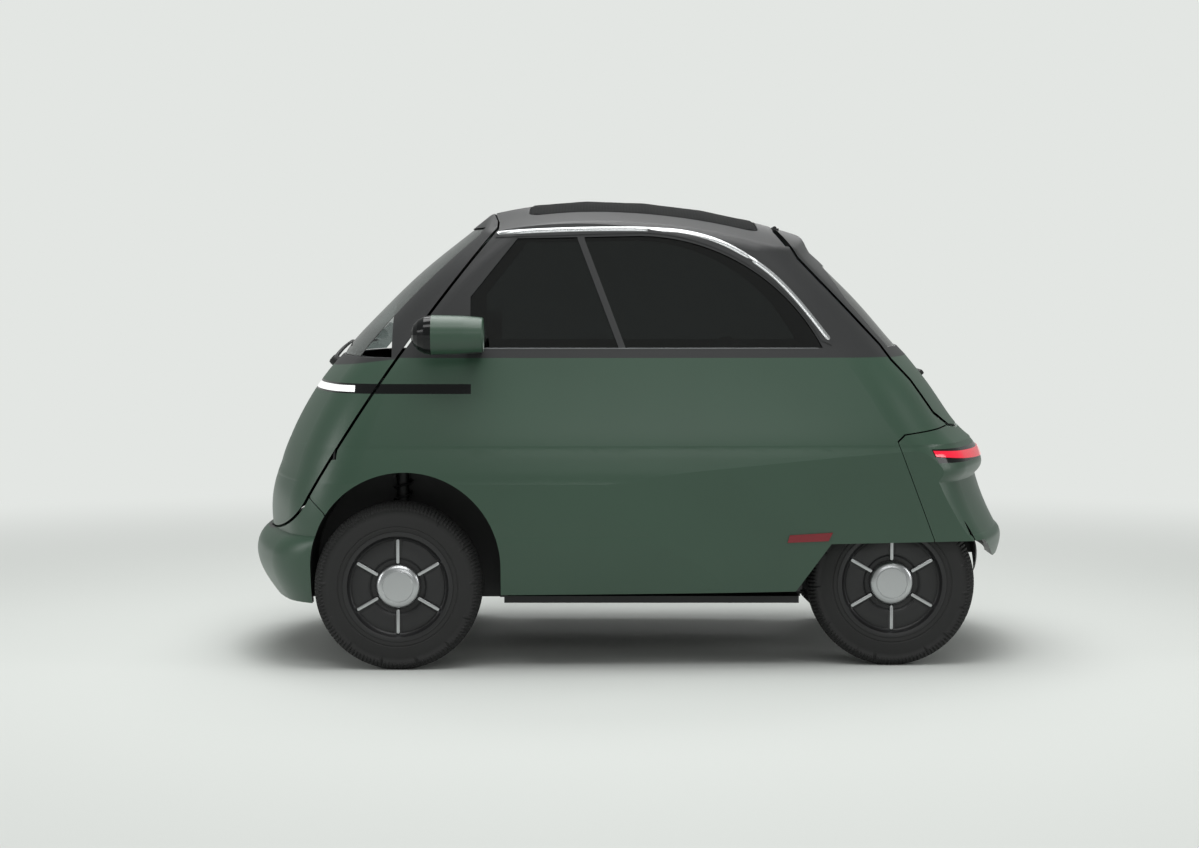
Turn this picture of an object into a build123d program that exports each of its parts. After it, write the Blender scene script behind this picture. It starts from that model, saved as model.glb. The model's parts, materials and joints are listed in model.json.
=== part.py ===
from build123d import *
import os
from math import hypot, radians, cos, sin, sqrt

# Microcar with a front door, two seats side by side and a tailgate.
# Frame: +X forward, +Y to the car's left, +Z up, origin on the ground under the middle.
# All lengths are in millimetres.

# ---- driving dimensions --------------------------------------------------------------
overall_length = 2519
body_width = 1473
roof_height = 1501
wheelbase = 1576
front_axle_x = 738
rear_axle_x = front_axle_x - wheelbase
front_track = 1270
rear_track = 1070

wall = 40                 # thickness of door, side and roof structure
door_gap = 9              # shut line round the front door and the tailgate
panel_gap = 4             # seam between fixed panels
seat_clearance = 0.3      # running or fitting clearance between neighbours
glass_depth = 7           # glass lies this far under the outer surface
glass_thickness = 5

widest_x = 250            # station of the greatest width
side_radius = 12000       # plan radius of the flanks

# ---- body sections ---------------------------------------------------------------------
# columns: height, nose x, half width, tail x, front corner radius, rear corner radius
nose_tip = overall_length / 2
half = body_width / 2
skirt_sections = [
    (200, 1192, half - 48, -1180, 240, 200),
    (260, 1234, half - 31, -1216, 240, 200),
    (330, nose_tip, half - 17, -1246, 240, 200),
    (385, 1250, half - 8, -nose_tip, 240, 200),
    (424, 1206, half - 5, -1242, 240, 205),
]
waist_sections = [
    (424, 1206, half - 5, -1242, 240, 205),
    (481, 1210, half - 1, -1213, 240, 205),
    (537, 1205, half, -1190, 240, 205),
    (594, 1190, half, -1172, 238, 205),
]
ledge_sections = [                    # with the ledge under the tail lamp
    (594, 1190, half, -1172, 238, 205),
    (614, 1183, half - 2, -1188, 238, 205),
    (634, 1176, half - 4, -1195, 237, 205),
    (654, 1170, half - 7, -1191, 237, 205),
    (674, 1163, half - 10, -1183, 236, 205),
    (694, 1155, half - 14, -1170, 235, 205),
    (714, 1146, half - 17, -1155, 232, 205),
]
shoulder_sections = [
    (714, 1146, half - 17, -1155, 232, 205),
    (783, 1114, half - 30, -1088, 224, 204),
    (852, 1075, half - 46, -1041, 214, 202),
    (921, 1028, half - 63, -991, 203, 199),
    (990, 968, half - 82, -935, 190, 195),
]
house_sections = [
    (990, 968, half - 82, -935, 190, 195),
    (1078, 898, half - 104, -855, 177, 190),
    (1166, 811, half - 125, -778, 165, 184),
    (1254, 719, half - 146, -690, 153, 176),
    (1342, 613, half - 168, -608, 141, 166),
    (1430, 500, half - 192, -565, 130, 152),
    (1520, 388, half - 219, -545, 122, 138),
]
belt_z = 990
nose_plan_radius = 1500
tail_plan_radius = 1400

# the flank turns inwards below a crease that rises towards the tail
crease_x, crease_z, crease_tilt = -531, 666, 5.37
# columns: height over the crease's plane, half width, station of the greatest width
tuck_sections = [
    (100, half - 0.5, 320),
    (0, half + 3.4, 414),
    (-100, half + 6.5, 515),
    (-200, half + 8.5, 598),
    (-300, half + 2.5, 627),
    (-400, half - 19.5, 549),
    (-500, half - 46.5, 500),
]
tuck_front_x, tuck_depth = 200, 460

# roof arcs in the side view and across the car
roof_apex_x = 120
roof_front_radius = 1450
roof_rear_radius = 2180
roof_cross_radius = 1900

# ---- shut lines in the side view (x, z) --------------------------------------------
door_top = (431, 1429)
door_upper = (430, 1405)
door_middle = (753, 980)
door_lower = (1031, 546)
door_foot = (1102, 463)
door_lip = (1205, 421)
door_cut_normal = (-0.82, -0.573)     # from door to body
gate_points = [(-487, 1407), (-542, 1311), (-808, 1033), (-842, 985), (-908, 918),
               (-984, 812), (-1043, 768)]
gate_cut_normal = (0.72, -0.69)       # from tailgate to body
gate_foot_z = 760
clip_points = [(-1080, 760), (-1026, 763), (-872, 744), (-849, 722), (-877, 650),
               (-971, 406), (-985, 150)]
bumper_points = [(1020, 544), (975, 501), (940, 440), (940, 150)]

# ---- hinges ------------------------------------------------------------------------------
door_hinge_x, door_hinge_y, door_hinge_z, door_hinge_lean = 940, 669, 692, 10
hinge_pin_radius = 5
pin_reach_down, pin_reach_up = 60, 26
hinge_relief_radius = 20  # room behind the shut line for the turning edge of the door
hinge_relief_down, hinge_relief_up = 26, 18
gate_hinge_x, gate_hinge_z, gate_hinge_y = -485, 1409, 160
roof_gap = 20             # wider gap at the tailgate's hinge line

# ---- wheels ---------------------------------------------------------------------------
tyre_radius = 266.5
tyre_width = 145
bead_radius = 165
rim_width = 124
arch_radius = 301
arch_x = 715
arch_z = 330
arch_front_x = 1017
arch_rear_x = 412
spindle_radius = 17
ball_drop = 112           # kingpin ends above and below the wheel's middle
kingpin_radius = 8

# ---- floor and structure ----------------------------------------------------------------
floor_z = 200
floor_thickness = 22
sill_z = 240
footwell_half_width = 405
well_wall_y = 428         # inner wall of the front wheel wells
rear_well_y = 398
rear_well_radius = 290
rear_well_z = 290
liner_thickness = 6
tyre_room = 5             # between the rear tyres' outer faces and the panels
deck_z = 600              # luggage deck over the rear wheels
bulkhead_x = -560
front_bulkhead_x = 1030
threshold_z = 412
sill_top_z = 330
pan_half_width = 575      # the flat underside ends inboard of the sills


def circle_meet(centre_a, radius_a, centre_b, radius_b, ahead):
    """Meeting point of two circles, the one with the greater ahead*x at positive y."""
    (xa, ya), (xb, yb) = centre_a, centre_b
    apart = hypot(xb - xa, yb - ya)
    along = (radius_a**2 - radius_b**2 + apart**2) / (2 * apart)
    across = sqrt(radius_a**2 - along**2)
    ux, uy = (xb - xa) / apart, (yb - ya) / apart
    first = (xa + along * ux - across * uy, ya + along * uy + across * ux)
    second = (xa + along * ux + across * uy, ya + along * uy - across * ux)
    return max(first, second, key=lambda p: ahead * p[0])


def reach(centre, radius, through):
    """Point on a circle in the direction of another point."""
    away = hypot(through[0] - centre[0], through[1] - centre[1])
    return (
        centre[0] + (through[0] - centre[0]) * radius / away,
        centre[1] + (through[1] - centre[1]) * radius / away,
    )


def plan_outline(section, inset=0.0, widest=widest_x):
    """Closed outline of eight tangent arcs at one height, moved inwards by inset."""
    z, nose_x, half_width, tail_x, front_corner, rear_corner = section
    nose_centre = (nose_x - nose_plan_radius, 0)
    tail_centre = (tail_x + tail_plan_radius, 0)
    flank_centre = (widest, half_width - side_radius)
    front_centre = circle_meet(nose_centre, nose_plan_radius - front_corner,
                               flank_centre, side_radius - front_corner, 1)
    rear_centre = circle_meet(tail_centre, tail_plan_radius - rear_corner,
                              flank_centre, side_radius - rear_corner, -1)
    front_r, rear_r = front_corner - inset, rear_corner - inset

    def beyond(centre, origin, radius):
        return reach(centre, radius, (2 * centre[0] - origin[0], 2 * centre[1] - origin[1]))

    a = beyond(front_centre, nose_centre, front_r)
    b = beyond(front_centre, flank_centre, front_r)
    c = beyond(rear_centre, flank_centre, rear_r)
    d = beyond(rear_centre, tail_centre, rear_r)

    def between(centre, radius, p, q):
        return reach(centre, radius, ((p[0] + q[0]) / 2, (p[1] + q[1]) / 2))

    left = [(a, between(front_centre, front_r, a, b), b),
            (b, between(flank_centre, side_radius - inset, b, c), c),
            (c, between(rear_centre, rear_r, c, d), d)]
    nose = ((a[0], -a[1]), (nose_x - inset, 0), a)
    tail = (d, (tail_x + inset, 0), (d[0], -d[1]))
    right = [tuple((x, -y) for x, y in reversed(arc)) for arc in reversed(left)]
    arcs = [nose] + left + [tail] + right
    return Wire([Edge.make_three_point_arc(*[(x, y, z) for x, y in arc]) for arc in arcs])


def plan_loft(sections, inset=0.0):
    return Solid.make_loft([plan_outline(s, inset) for s in sections])


def flank_tuck(inset=0.0):
    """What the flanks lose below the crease: a tilted slab less a body of tucked-in sections."""
    wires = [plan_outline((crease_z + height, nose_tip + 70, half_width, -nose_tip - 75, 240, 205),
                          inset, widest) for height, half_width, widest in tuck_sections]
    slab = box_at(-1500, tuck_front_x, -1000, 1000, crease_z - tuck_depth, crease_z)
    return (slab - Solid.make_loft(wires)).rotate(Axis((crease_x, 0, crease_z), (0, 1, 0)),
                                                  crease_tilt)


def lower_body(inset=0.0):
    """The body below the belt: skirt, waist, ledge and shoulder lofts, less the flank's tuck."""
    stack = (plan_loft(skirt_sections, inset) + plan_loft(waist_sections, inset)
             + plan_loft(ledge_sections, inset) + plan_loft(shoulder_sections, inset))
    return stack - flank_tuck(inset)


def roof_volume(inset=0.0):
    """Everything under the roof skin, crowned along and across the car."""
    apex = (roof_apex_x, roof_height - inset)
    front, rear = roof_front_radius - inset, roof_rear_radius - inset

    def arc_point(radius, dx):
        return (roof_apex_x + dx, apex[1] - radius + sqrt(radius**2 - dx**2))

    def world(p):
        return (p[0], 0, p[1])

    front_end, front_mid = arc_point(front, 640), arc_point(front, 320)
    rear_end, rear_mid = arc_point(rear, -1060), arc_point(rear, -530)
    floor_z = belt_z - 90
    edges = [
        Edge.make_three_point_arc(world(rear_end), world(rear_mid), world(apex)),
        Edge.make_three_point_arc(world(apex), world(front_mid), world(front_end)),
        Edge.make_line(world(front_end), (front_end[0], 0, floor_z)),
        Edge.make_line((front_end[0], 0, floor_z), (rear_end[0], 0, floor_z)),
        Edge.make_line((rear_end[0], 0, floor_z), world(rear_end)),
    ]
    spread = 31
    profile = Face(Wire(edges))
    axis = Axis((0, 0, roof_height - roof_cross_radius), (1, 0, 0))
    return revolve(profile.rotate(axis, -spread), axis, 2 * spread)


def side_prism(edges, y_from=-1000, y_to=1000):
    """Solid with an outline in the side view, given as edges in y = 0."""
    face = Face(Wire(edges)).translate((0, y_from, 0))
    return Solid.extrude(face, (0, y_to - y_from, 0))


def side_path(*steps):
    """Edges through (x, z) points: two-number steps are lines, (via, end) steps are arcs."""
    edges, here = [], steps[0]
    for step in list(steps[1:]) + [steps[0]]:
        start = (here[0], 0, here[1])
        if isinstance(step[0], tuple):
            via, here = step
            edges.append(Edge.make_three_point_arc(start, (via[0], 0, via[1]),
                                                   (here[0], 0, here[1])))
        else:
            here = step
            edges.append(Edge.make_line(start, (here[0], 0, here[1])))
    return edges


def box_at(x0, x1, y0, y1, z0, z1):
    return Pos((x0 + x1) / 2, (y0 + y1) / 2, (z0 + z1) / 2) * Box(x1 - x0, y1 - y0, z1 - z0)


def rod(start, end, radius):
    start, end = Vector(*start), Vector(*end)
    return Solid.make_cylinder(radius, (end - start).length, Plane(origin=start, z_dir=end - start))


def turned(points, axis):
    """Solid of revolution from a closed outline of 3-D points."""
    return revolve(Face(Wire.make_polygon(points, close=True)), axis, 360)


def mirrored(shape):
    return shape.mirror(Plane.XZ)


def biggest(shape, count=1):
    """The biggest solids of a cut, as one shape."""
    solids = sorted(shape.solids(), key=lambda s: -s.volume)[:count]
    return solids[0] if count == 1 else Compound(children=solids)


def shifted(point, shift, normal):
    return (point[0] + shift * normal[0], point[1] + shift * normal[1])


# ---- regions of the side view that split the shell into panels -------------------------
def door_region(shift=0.0):
    """All that lies ahead of the front door's shut line, or of a line shift behind it."""
    def p(point):
        return shifted(point, shift, door_cut_normal)
    return side_prism(side_path(
        (470 - shift, 1700), (470 - shift, 1485), p(door_top), p(door_upper),
        (p(door_middle), p(door_lower)), (p(door_foot), p(door_lip)),
        (1500, p(door_lip)[1]), (1500, 1700)))


def gate_region(shift=0.0):
    """All that lies behind and above the tailgate's shut line."""
    points = [shifted(p, shift, gate_cut_normal) for p in gate_points]
    foot = gate_foot_z - shift
    return side_prism(side_path((points[0][0], 1700), *points, (-1080, foot), (-1500, foot),
                                (-1500, 1700)))


def clip_region(shift=0.0):
    """The rear clip, which carries the bumper and the tail lamp."""
    points = [(x + shift, z + shift) for x, z in clip_points]
    return side_prism(side_path((-1500, gate_foot_z + shift), *points, (-1500, 150)))


def bumper_region(shift=0.0):
    """The front bumper below the door's shut line."""
    points = [(x - shift, z) for x, z in bumper_points]
    return side_prism(side_path((1500, 700), (1040, 700), *points, (1500, 150)))


def arch_region(grow=0.0, front=True):
    """Opening of a wheel arch or well in the side view."""
    if front:
        x, z, r = arch_x, arch_z, arch_radius + grow
        x0, x1 = arch_rear_x - grow, arch_front_x + grow
    else:
        x, z, r = rear_axle_x, rear_well_z, rear_well_radius + grow
        x0, x1 = x - r, x + r
    return side_prism(side_path((x0, 100), (x0, z), ((x, z + r), (x1, z)), (x1, 100)))


def front_wells(grow=0.0):
    """Both front wheel wells, outside their inner walls."""
    middle = well_wall_y - liner_thickness - seat_clearance
    return arch_region(grow) - box_at(-1400, 1400, -middle, middle, 0, 1000)


def underside_region():
    """What lies below the sills, the skirts and the bumpers."""
    return side_prism(side_path(
        (1500, 100), (1500, 206), (1000, 206), (arch_rear_x + 8, sill_z), (-525, sill_z + 8),
        (-637, 400), (-1141, 404), (-1190, 335), (-1500, 328), (-1500, 100)))


# ---- the body shell ------------------------------------------------------------------------
lower_outer = lower_body()
house_outer = biggest(plan_loft(house_sections) & roof_volume())
house_outer = house_outer.fillet(45, [e for e in house_outer.edges()
                                      if e.bounding_box().min.Z > 1250])
inner_space = lower_body(wall + seat_clearance)
lower_shell = biggest(lower_outer - lower_body(wall))
upper_shell = biggest(house_outer - (plan_loft(house_sections, wall) & roof_volume(wall)))
shell = lower_shell + upper_shell

door_whole = biggest(shell & door_region())
paint_region = side_prism(side_path((1500, 100), (1500, 955), (975, 957), (753, 985),
                                    (-1500, belt_z), (-1500, 100)))
screen_region = side_prism(side_path((869, 992), ((690, 1194), (489, 1380)), (470, 1408),
                                     (1500, 1408), (1500, 992)))
roof_region = side_prism(side_path((600, 1395), (455, 1395), ((0, 1409), (-480, 1345)),
                                   (-620, 1345), (-620, 1700), (600, 1700)))


def light_band(z_low, z_high, x_from, x_to, depth, proud=0.0):
    """Strip of the lower shell between two heights, down to a depth under the skin."""
    skin = lower_body(-proud) if proud else lower_outer
    ring = skin - lower_body(depth)
    return ring & box_at(x_from, x_to, -1000, 1000, z_low, z_high)


bar_low, bar_high, bar_depth, bar_rear_x = 877, 908, 10, 506
bar_ring = light_band(bar_low, bar_high, bar_rear_x, 1500, bar_depth)

# ---- front door --------------------------------------------------------------------------
door_panel = biggest((door_whole & paint_region) - bar_ring)
door_frame = biggest(door_whole - paint_region - screen_region)
screen_ring = plan_loft(house_sections, glass_depth) - plan_loft(
    house_sections, glass_depth + glass_thickness)
windscreen = biggest(screen_ring & screen_region & door_region(-1))
lamp_low, lamp_high, lamp_rear_x, lamp_depth = 882, 902, 877, 4
lamp_ring = light_band(lamp_low, lamp_high, lamp_rear_x, 1500, lamp_depth)
daytime_lamps = biggest(lamp_ring & door_region())
door_light_bar = biggest((bar_ring & door_region()) - lamp_ring)
dash_bar = biggest(box_at(868, 912, -700, 700, 838, 886)
                   & lower_body(wall))

# ---- flanks, roof and bumpers -----------------------------------------------------------
well_outer_y = rear_track / 2 + tyre_width / 2 + tyre_room
rear_wells = arch_region(0, False) & box_at(-1400, 1400, -well_outer_y, well_outer_y, 0, 1000)
fixed_lower = (lower_shell - door_region(door_gap) - underside_region() - arch_region()
               - rear_wells)
fixed_upper = upper_shell - door_region(door_gap) - gate_region(door_gap)
flanks = (fixed_lower - bumper_region(panel_gap) - clip_region(panel_gap)
          - gate_region(door_gap) - bar_ring)
side_panels = sorted(flanks.solids(), key=lambda s: -s.volume)[:2]
side_panel_left, side_panel_right = sorted(side_panels, key=lambda s: -s.center().Y)
side_light_trims = biggest((bar_ring - door_region(door_gap)), 2)
front_bumper = biggest(fixed_lower & bumper_region())
tail_low, tail_high, tail_depth = 655, 699, 22
tail_region = side_prism(side_path((-1500, tail_low), (-979, tail_low), (-956, tail_high),
                                   (-1500, tail_high)))
tail_band = (lower_outer - lower_body(tail_depth)) & tail_region
rear_bumper = biggest((fixed_lower & clip_region()) - gate_region(door_gap) - tail_band)
tail_lamp = biggest(tail_band)

window_region = side_prism(side_path((361, 1370), (510, 1183), (510, 1021), (-612, 1021),
                                     ((-371, 1280), (-31, 1378))))
divider_region = side_prism(side_path((168, 1700), (147, 1367), (16, 1021), (8, 900),
                                      (30, 900), (38, 1021), (169, 1367), (190, 1700)))
pane_region = window_region - divider_region
frames = fixed_upper - roof_region - pane_region
cabin_frames = sorted(frames.solids(), key=lambda s: -s.volume)[:2]
cabin_frame_left, cabin_frame_right = sorted(cabin_frames, key=lambda s: -s.center().Y)
side_windows = biggest(screen_ring & pane_region, 4)

hatch = (-420, 330, -400, 400)      # opening of the folding roof: x from, to, y from, to
hatch_ledge = 25
hatch_depth = 20
hatch_box = box_at(*hatch, 1200, 1600)
hatch_box = hatch_box.fillet(60, hatch_box.edges().filter_by(Axis.Z))
hatch_inner = box_at(hatch[0] + hatch_ledge, hatch[1] - hatch_ledge, hatch[2] + hatch_ledge,
                     hatch[3] - hatch_ledge, 1200, 1600)
hatch_inner = hatch_inner.fillet(40, hatch_inner.edges().filter_by(Axis.Z))
roof_panel = biggest((fixed_upper & roof_region) - (hatch_box - roof_volume(hatch_depth))
                     - hatch_inner)
folding_roof = biggest((roof_volume(-3) - roof_volume(hatch_depth)) & hatch_box)

trim_region = side_prism(side_path((440, 1391), ((-10, 1406), (-480, 1258)), (-640, 1050),
                                   (-640, 1030), (-606, 1046), ((-371, 1290), (-31, 1388)),
                                   (431, 1374)))
window_trims = biggest((plan_loft(house_sections, -3) - plan_loft(house_sections))
                       & (trim_region - pane_region - door_region(door_gap)
                          - gate_region(door_gap)), 2)

# ---- tailgate ----------------------------------------------------------------------------
gate_whole = biggest((shell & gate_region()) - underside_region())
rear_glass_region = side_prism(side_path((-640, 1283), (-700, 1175), (-838, 1020),
                                         (-1500, 1010), (-1500, 1283)))
spoiler_notch = side_prism(side_path((-592, 1376), (-587, 1349), (-595, 1327), (-655, 1285),
                                     (-760, 1285), (-760, 1376)))
tailgate_panel = biggest(gate_whole & paint_region)
tailgate_frame = biggest(gate_whole - paint_region - rear_glass_region - spoiler_notch)
rear_window = biggest(screen_ring & rear_glass_region & gate_region(-1))

# ---- floor pan ------------------------------------------------------------------------------
floor_top = floor_z + floor_thickness
pan = box_at(bulkhead_x, 425, -700, 700, floor_z, floor_top)
pan += box_at(400, front_bulkhead_x + 15, -footwell_half_width, footwell_half_width,
              floor_z, floor_top)
pan += box_at(bulkhead_x, bulkhead_x + 15, -700, 700, floor_z, deck_z)
pan += box_at(-1300, bulkhead_x + 15, -700, 700, deck_z, deck_z + 15)
pan += box_at(front_bulkhead_x, front_bulkhead_x + 15, -700, 700, floor_z + 10, threshold_z)
pan += box_at(front_bulkhead_x, 1300, -700, 700, threshold_z - 15, threshold_z)
for side in (-1, 1):
    y_in, y_out = sorted((side * (footwell_half_width - 10), side * footwell_half_width))
    pan += box_at(400, front_bulkhead_x + 5, y_in, y_out, floor_z, threshold_z)
    y_in, y_out = sorted((side * 590, side * 700))
    pan += box_at(bulkhead_x, 400, y_in, y_out, floor_z, sill_top_z)
    pan += box_at(395, 405, *sorted((side * (footwell_half_width - 10), side * 700)),
                  floor_z, sill_top_z)
    pan -= box_at(bulkhead_x - 1, 426, *sorted((side * pan_half_width, side * 800)),
                  floor_z - 1, sill_z + 4)
pan += box_at(front_axle_x - 70, front_axle_x + 70, -footwell_half_width, footwell_half_width,
              128, floor_z + 5)
pan = biggest((pan & inner_space) - front_wells(liner_thickness + seat_clearance))

battery_pack = box_at(-480, 330, -430, 430, floor_top + seat_clearance, 408)
drive_motor = rod((rear_axle_x, -130, 300), (rear_axle_x, 130, 300), 105)
drive_motor += box_at(-930, -740, -190, 190, 400, 520)


def well_liner(front):
    """Liner of one left wheel well: the arched roof and the inner wall."""
    outer = arch_region(liner_thickness, front) - arch_region(0, front)
    wall_y = well_wall_y if front else rear_well_y
    arched = outer & box_at(-1400, 1400, wall_y - liner_thickness, 1000, 250, 700)
    inner = arch_region(liner_thickness, front) & box_at(
        -1400, 1400, wall_y - liner_thickness, wall_y, 250, 700)
    if front:
        inner -= box_at(front_axle_x - 75, front_axle_x + 75, 0, 1000, 340, 420)
    else:
        inner -= box_at(-1400, 1400, 0, 1000, 220, 345)
    return biggest((arched + inner) & inner_space)


liners = [well_liner(True), well_liner(False)]
pan -= arch_region(liner_thickness + seat_clearance, False) & box_at(
    -1400, 1400, rear_well_y - liner_thickness - seat_clearance, 1000, 0, 700)
pan -= mirrored(arch_region(liner_thickness + seat_clearance, False) & box_at(
    -1400, 1400, rear_well_y - liner_thickness - seat_clearance, 1000, 0, 700))
floor_pan = biggest(pan)

# ---- seat, steering, dash -------------------------------------------------------------------
seat_cushion = box_at(-100, 380, -560, 560, 408 + seat_clearance, 540)
seat_cushion = seat_cushion.fillet(40, seat_cushion.edges().group_by(Axis.Z)[-1])
seat_back = side_prism(side_path((-104, 408.3), (-230, 408.3), (-415, 1030), ((-370, 1060),
                                 (-312, 1036)), (-104, 560)), -560, 560)

wheel_centre = Vector(430, 290, 880)
column_tilt = 32
column_axis = Vector(cos(radians(column_tilt)), 0, -sin(radians(column_tilt)))
wheel_rim_radius = 172
wheel_plane = Plane(origin=wheel_centre, z_dir=column_axis)
steering_wheel = Solid.make_cylinder(38, 52, Plane(origin=(0, 0, -12)))
for spoke_angle in (90, 180, 270):
    steering_wheel += box_at(20, wheel_rim_radius, -14, 14, -4, 6).rotate(Axis.Z, spoke_angle)
steering_wheel += turned([(wheel_rim_radius + 14 * cos(radians(a)), 0, 14 * sin(radians(a)))
                          for a in range(15, 375, 30)], Axis.Z)
steering_wheel = wheel_plane.location * steering_wheel
column_top = wheel_centre + column_axis * (40 + 1)
column_foot = wheel_centre + column_axis * 540
steering_column = rod(column_top, column_foot, 24)
steering_column += box_at(column_foot.X - 30, column_foot.X + 10, 268, 312,
                          floor_top + seat_clearance, column_foot.Z + 20)

# ---- mirror pods with the headlamps ------------------------------------------------------
pod_y, pod_z, pod_front_x, pod_rear_x, lamp_seam_x, pod_radius = 760, 1065, 690, 462, 625, 62.5


def about_pod(points):
    """Solid of revolution about the pod's lengthwise axis from (x, radius) points."""
    outline = [(x, pod_y, pod_z + r) for x, r in points]
    return turned(outline, Axis((0, pod_y, pod_z), (1, 0, 0)))


mirror_housing = about_pod([(pod_rear_x + 8, 0), (pod_rear_x + 8, 50), (pod_rear_x, 51),
                            (pod_rear_x + 4, 55), (pod_rear_x + 60, 60),
                            (lamp_seam_x, pod_radius), (lamp_seam_x, 0)])
mirror_glass = about_pod([(pod_rear_x + 3, 0), (pod_rear_x + 3, 50), (pod_rear_x + 8, 50),
                          (pod_rear_x + 8, 0)])
dome_arc = [(lamp_seam_x + 65 * sin(radians(a)), pod_radius * cos(radians(a)))
            for a in (0, 20, 40, 58, 74, 90)]
headlamp = about_pod([(lamp_seam_x, 0)] + dome_arc)
mirror_arm = biggest(box_at(470, 520, 600, pod_y - 30, 1008, 1050) - house_outer
                     - mirror_housing)

# ---- running gear ----------------------------------------------------------------------------
axle_z = tyre_radius


def wheel():
    """Tyre and rim with the outer face towards +Y, centred on the wheel's middle."""
    hw, r, b, rw = tyre_width / 2, tyre_radius, bead_radius, rim_width / 2
    lip, cover, hub, cap = bead_radius + 10, bead_radius - 13, 92, 70
    tyre = turned([(0, y, z) for y, z in [
        (-hw + 8, b), (-hw, b + 25), (-hw, b + 58), (-hw + 10, r - 16), (-hw + 28, r),
        (hw - 28, r), (hw - 10, r - 16), (hw, b + 58), (hw, b + 25), (hw - 8, b)]], Axis.Y)
    bore = spindle_radius + seat_clearance
    rim = turned([(0, y, z) for y, z in [
        (-rw, b - 9), (-rw, b), (rw, b), (hw - 7.6, b - 0.3), (hw - 4, lip), (hw - 1, lip),
        (hw - 0.5, lip - 3), (hw - 2, b - 6), (rw - 6, b - 10), (rw - 12, cover - 4),
        (rw - 12, hub), (rw - 20, hub - 6), (rw - 20, bore), (-20, bore), (-20, 60),
        (rw - 34, 70), (rw - 34, 146), (rw - 44, b - 9)]], Axis.Y)
    rim += turned([(0, y, z) for y, z in [
        (rw - 20, 0), (rw - 20, cap), (rw - 8, cap - 4), (rw + 2, 46), (rw + 4, 42),
        (rw + 4, 0)]], Axis.Y)
    for k in range(6):
        rim += box_at(-13, 13, rw - 24, rw - 6, cap - 4, cover - 1).rotate(Axis.Y, 60 * k)
    return tyre, rim


def wheel_at(x, y):
    tyre, rim = wheel()
    if y < 0:
        tyre, rim = mirrored(tyre), mirrored(rim)
    place = Location((x, y, axle_z))
    return place * tyre, place * rim


def knuckle():
    """Left front knuckle about the wheel's middle, outer side towards +Y."""
    body = box_at(-18, 18, -50, -24, -ball_drop, ball_drop)
    for z in (-ball_drop, ball_drop - 24):
        body += box_at(-18, 18, -50, 16, z, z + 24)
        body -= rod((0, 0, z - 1), (0, 0, z + 25), kingpin_radius + seat_clearance)
    body += rod((0, -50, 0), (0, rim_width / 2 - 21, 0), spindle_radius)
    body += box_at(-120, -10, -62, -40, -40, -20)
    return body


def control_arm(upper):
    """Front control arm about the wheel's middle, with its kingpin stud."""
    inner_y = footwell_half_width + seat_clearance - front_track / 2
    plate = Face(Wire.make_polygon([
        (-62, inner_y, 0), (-62, -132, 0), (-17, -88, 0), (-17, 14, 0), (17, 14, 0),
        (17, -88, 0), (62, -132, 0), (62, inner_y, 0)], close=True))
    thickness = 20
    low = ball_drop + seat_clearance if upper else -ball_drop - seat_clearance - thickness
    arm = Pos(0, 0, low) * Solid.extrude(plate, (0, 0, thickness))
    if upper:
        arm -= box_at(-36, 36, -215, -142, low - 1, low + thickness + 1)
        return arm + rod((0, 0, low), (0, 0, low - 22), kingpin_radius)
    return arm + rod((0, 0, low + thickness), (0, 0, low + thickness + 22), kingpin_radius)


def trailing_arm():
    """Left rear arm, from the bulkhead to the hub spindle."""
    arm = box_at(rear_axle_x - 30, bulkhead_x - seat_clearance, 352, 382, 236, 300)
    arm += box_at(rear_axle_x - 30, rear_axle_x + 30, 352, 448, 236, 300)
    return arm + rod((rear_axle_x, 442, axle_z),
                     (rear_axle_x, rear_track / 2 + rim_width / 2 - 21, axle_z), spindle_radius)


front_left = Location((front_axle_x, front_track / 2, axle_z))
knuckle_left = front_left * knuckle()
lower_arm = front_left * control_arm(False)
upper_arm = front_left * control_arm(True)
strut_front = rod((front_axle_x, 458, axle_z - ball_drop), (front_axle_x, 458, 627), 21)
strut_rear = rod((rear_axle_x, 430, 300 + seat_clearance), 
                 (rear_axle_x, 430, rear_well_z + rear_well_radius - 0.6), 12)
rear_arm = trailing_arm()
half_shaft = rod((rear_axle_x, 130 + seat_clearance, axle_z + 6),
                 (rear_axle_x, 352 - seat_clearance, axle_z + 6), 14)

# ---- small trim ----------------------------------------------------------------------------
reflector_region = side_prism(side_path((-496, 406), (-503, 430), (-641, 437), (-627, 410)))
reflectors = biggest((lower_body(-3) - lower_outer) & reflector_region, 2)

# ---- hinges -----------------------------------------------------------------------------------
door_hinge = Vector(door_hinge_x, door_hinge_y, door_hinge_z)
door_hinge_axis = Vector(0, -sin(radians(door_hinge_lean)), cos(radians(door_hinge_lean)))
pin_low = door_hinge - door_hinge_axis * pin_reach_down
pin_high = door_hinge + door_hinge_axis * pin_reach_up
door_hinge_pin = rod(pin_low, pin_high, hinge_pin_radius)
relief_low = door_hinge - door_hinge_axis * hinge_relief_down
relief_high = door_hinge + door_hinge_axis * hinge_relief_up
side_panel_left = biggest(side_panel_left - rod(pin_low, pin_high, hinge_pin_radius)
                          - rod(relief_low, relief_high, hinge_relief_radius))
door_panel = biggest(door_panel - rod(pin_low, door_hinge + door_hinge_axis * (pin_reach_up + 2),
                                      hinge_pin_radius + seat_clearance))


def gate_rod(y_from, y_to, radius):
    return rod((gate_hinge_x, y_from, gate_hinge_z), (gate_hinge_x, y_to, gate_hinge_z), radius)


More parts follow.
